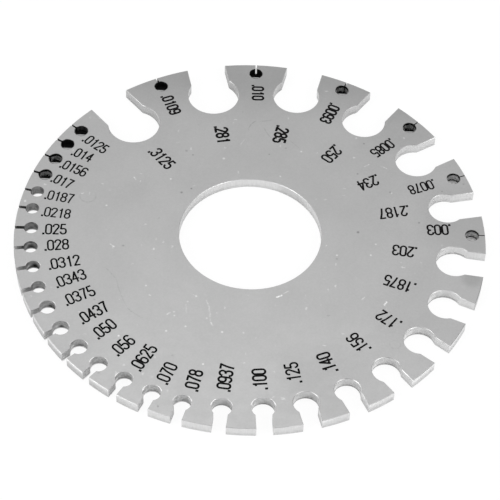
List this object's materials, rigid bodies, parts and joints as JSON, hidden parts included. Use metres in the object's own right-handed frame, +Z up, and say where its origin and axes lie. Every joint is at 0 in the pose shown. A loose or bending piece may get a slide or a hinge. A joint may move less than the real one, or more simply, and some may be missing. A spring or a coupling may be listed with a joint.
{
  "type": "wire gauge plate",
  "caption": "Flat round steel gauge plate with a centre hole and graded keyhole slots around its rim, for checking the thickness of wire and sheet metal.",
  "frame": {"origin": "centre of the centre hole, on the underside that the plate lies on", "axes": "+Z up along the centre hole's axis, out of the numbered face; +X through the tooth of the finest slit, to the right in the picture; +Y away from the viewer"},
  "size_m": [0.0826, 0.0826, 0.002],
  "materials": {
    "ground_steel": "satin ground steel, machined slot walls",
    "black_fill": "matt black fill of the size numbers"
  },
  "bodies": {
    "root": {"gauge_plate": "ground_steel"}
  },
  "joints": []
}
